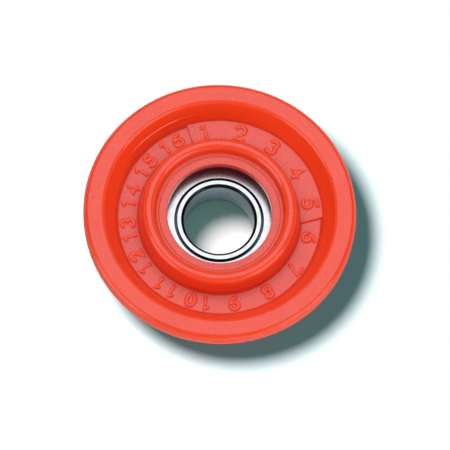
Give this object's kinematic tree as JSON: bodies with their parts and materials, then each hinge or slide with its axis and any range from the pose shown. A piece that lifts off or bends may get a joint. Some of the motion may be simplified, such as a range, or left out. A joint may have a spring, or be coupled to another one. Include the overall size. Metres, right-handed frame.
{
  "type": "pulley",
  "caption": "Moulded plastic rope pulley with a large and a small flange, a dished face and a rounded hub, turning on a shielded ball bearing with a bore for a shaft.",
  "frame": {"origin": "on the axis of spin, in the plane of the underside", "axes": "+Z along the axis of spin towards the dished face; +X towards the skewed end of the raised sector"},
  "size_m": [0.065, 0.065, 0.0199],
  "materials": {
    "orange_plastic": "satin moulded",
    "ring_steel": "ground",
    "shield_steel": "bright pressed sheet",
    "cage_steel": "pressed sheet",
    "ball_steel": "polished"
  },
  "bodies": {
    "bearing_inner": {"inner_ring": "ring_steel"},
    "wheel": {"pulley_body": "orange_plastic", "outer_ring": "ring_steel", "upper_shield": "shield_steel", "lower_shield": "shield_steel"},
    "ball_cage": {"cage_upper_half": "cage_steel", "cage_lower_half": "cage_steel", "cage_rivets": "cage_steel", "ball_01": "ball_steel", "ball_02": "ball_steel", "ball_03": "ball_steel", "ball_04": "ball_steel", "ball_05": "ball_steel", "ball_06": "ball_steel", "ball_07": "ball_steel", "ball_08": "ball_steel", "ball_09": "ball_steel", "ball_10": "ball_steel"}
  },
  "joints": [
    {"name": "wheel_spin", "type": "hinge", "parent": "bearing_inner", "child": "wheel", "pos_m": [0, 0, 0.0076], "axis": [0, 0, 1], "continuous": true},
    {"name": "cage_spin", "type": "hinge", "parent": "bearing_inner", "child": "ball_cage", "pos_m": [0, 0, 0.0076], "axis": [0, 0, 1], "continuous": true}
  ],
  "couplings": [
    {"joint": "cage_spin", "follows": "wheel_spin", "ratio": 0.59154}
  ]
}
